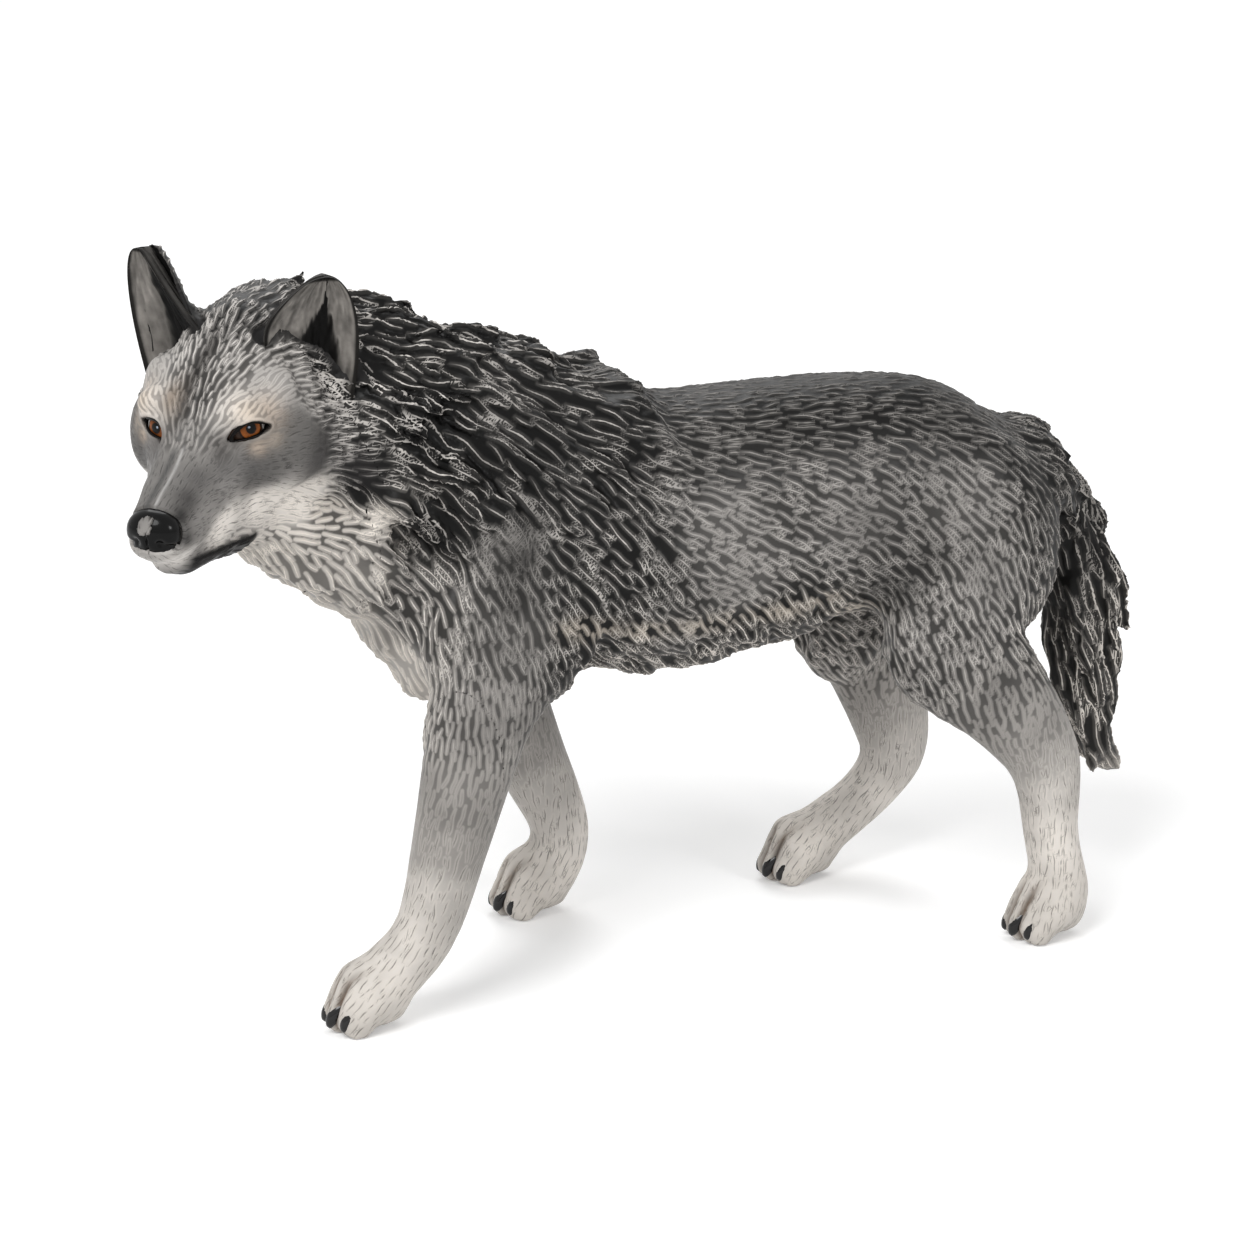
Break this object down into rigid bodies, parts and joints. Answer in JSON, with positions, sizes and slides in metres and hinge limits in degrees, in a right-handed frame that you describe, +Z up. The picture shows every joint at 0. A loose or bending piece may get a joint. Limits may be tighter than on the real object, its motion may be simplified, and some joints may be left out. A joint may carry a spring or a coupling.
{
  "type": "wolf figurine",
  "caption": "Walking grey wolf figurine with its head turned to its left, thick neck mane, pricked cupped ears, belly fringe and a hanging bushy tail, standing on flat paw soles.",
  "frame": {"origin": "on the ground, under the middle of the figurine's outer box", "axes": "the wolf faces -X with its body along X, its left flank is at -Y, and +Z is up"},
  "size_m": [0.1086, 0.0374, 0.0757],
  "materials": {
    "painted_coat": "hand-painted grey and cream hair with a dark wash in the grooves, satin"
  },
  "bodies": {
    "root": {"wolf": "painted_coat"}
  },
  "joints": []
}
